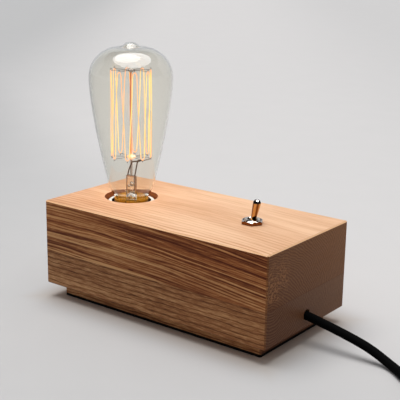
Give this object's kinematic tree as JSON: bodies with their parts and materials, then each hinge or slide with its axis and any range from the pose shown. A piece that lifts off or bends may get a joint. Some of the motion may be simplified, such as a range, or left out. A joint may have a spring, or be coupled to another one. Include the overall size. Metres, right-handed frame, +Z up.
{
  "type": "bare bulb table lamp",
  "caption": "Table lamp: a solid wood block on a set-back plinth holds a tall clear squirrel-cage filament bulb and a chrome toggle switch, with a black mains lead.",
  "frame": {"origin": "on the table under the centre of the wood block", "axes": "+X along the block to the end the lead leaves by, +Y to the back, +Z up"},
  "size_m": [0.3932, 0.1341, 0.1986],
  "materials": {
    "top_wood": "oiled, fine straight grain",
    "base_wood": "oiled, fine grain",
    "plinth_wood": "oiled",
    "pad_rubber": "matt",
    "screw_brass": "plain",
    "porcelain": "glazed ceramic",
    "shell_brass": "rolled",
    "contact_brass": "plain",
    "screw_steel": "zinc plated",
    "bracket_steel": "zinc plated",
    "bulb_glass": "clear",
    "cap_brass": "rolled, bright",
    "cap_insulator": "black glass",
    "cap_contact": "solder",
    "stem_glass": "clear",
    "rod_glass": "clear, lit by the filament",
    "support_wire": "fine wire",
    "filament_wire": "glowing",
    "lead_wire": "wire",
    "switch_phenolic": "moulded",
    "switch_chrome": "polished",
    "plunger_nylon": "moulded",
    "clamp_nylon": "moulded",
    "cord_jacket": "satin",
    "wire_brown": "extruded",
    "wire_blue": "extruded",
    "tie_fabric": "woven hook and loop",
    "plug_rubber": "moulded",
    "pin_steel": "nickel plated"
  },
  "bodies": {
    "base": {"upper_board": "top_wood", "lower_board": "base_wood", "plinth_board": "plinth_wood", "foot_pad": "pad_rubber", "plinth_screws": "screw_brass", "holder_body": "porcelain", "holder_screw_shell": "shell_brass", "holder_shell_strap": "shell_brass", "holder_contact_leaf": "contact_brass", "holder_terminals": "contact_brass", "terminal_screws": "screw_steel", "holder_bracket": "bracket_steel", "bracket_screws": "screw_steel", "holder_screws": "screw_steel", "switch_case": "switch_phenolic", "switch_frame": "bracket_steel", "switch_bushing": "switch_chrome", "switch_lock_washer": "screw_steel", "switch_nut": "switch_chrome", "switch_pivot_pin": "screw_steel", "switch_terminals": "contact_brass", "cord_clamp_base": "clamp_nylon", "cord_clamp_cap": "clamp_nylon", "clamp_screws": "screw_steel", "cord_inner_end": "cord_jacket", "wire_live": "wire_brown", "wire_switched": "wire_brown", "wire_neutral": "wire_blue", "power_cord": "cord_jacket", "cord_coil": "cord_jacket", "cord_tail": "cord_jacket", "coil_tie": "tie_fabric", "plug_strain_relief": "plug_rubber", "plug_body": "plug_rubber", "plug_pins": "pin_steel"},
    "lever": {"switch_lever": "switch_chrome", "switch_plunger": "plunger_nylon"},
    "rocker": {"switch_rocker": "contact_brass"},
    "bulb_glass": {"bulb_glass": "bulb_glass"},
    "bulb_core": {"bulb_cap_shell": "cap_brass", "bulb_cap_insulator": "cap_insulator", "bulb_cap_contact": "cap_contact", "bulb_stem": "stem_glass", "centre_rod": "rod_glass", "top_supports": "support_wire", "bottom_supports": "support_wire", "filament": "filament_wire", "lead_wires": "lead_wire"}
  },
  "joints": [
    {"name": "lever_toggle", "type": "hinge", "parent": "base", "child": "lever", "pos_m": [0.0537, 0.0012, 0.077], "axis": [0, 1, 0], "range_deg": [-24, 0]},
    {"name": "rocker_tilt", "type": "hinge", "parent": "base", "child": "rocker", "pos_m": [0.0537, 0.0012, 0.0582], "axis": [0, 1, 0], "range_deg": [0, 16]},
    {"name": "bulb_rise", "type": "slide", "parent": "base", "child": "bulb_glass", "axis": [0, 0, 1], "range_m": [0, 0.01815]},
    {"name": "bulb_turn", "type": "hinge", "parent": "bulb_glass", "child": "bulb_core", "pos_m": [-0.0605, 0, 0.078], "axis": [0, 0, 1], "range_deg": [0, 1800]}
  ],
  "couplings": [
    {"joint": "rocker_tilt", "follows": "lever_toggle", "ratio": -0.66667},
    {"joint": "bulb_turn", "follows": "bulb_rise", "rad_per_m": 1731.4}
  ]
}
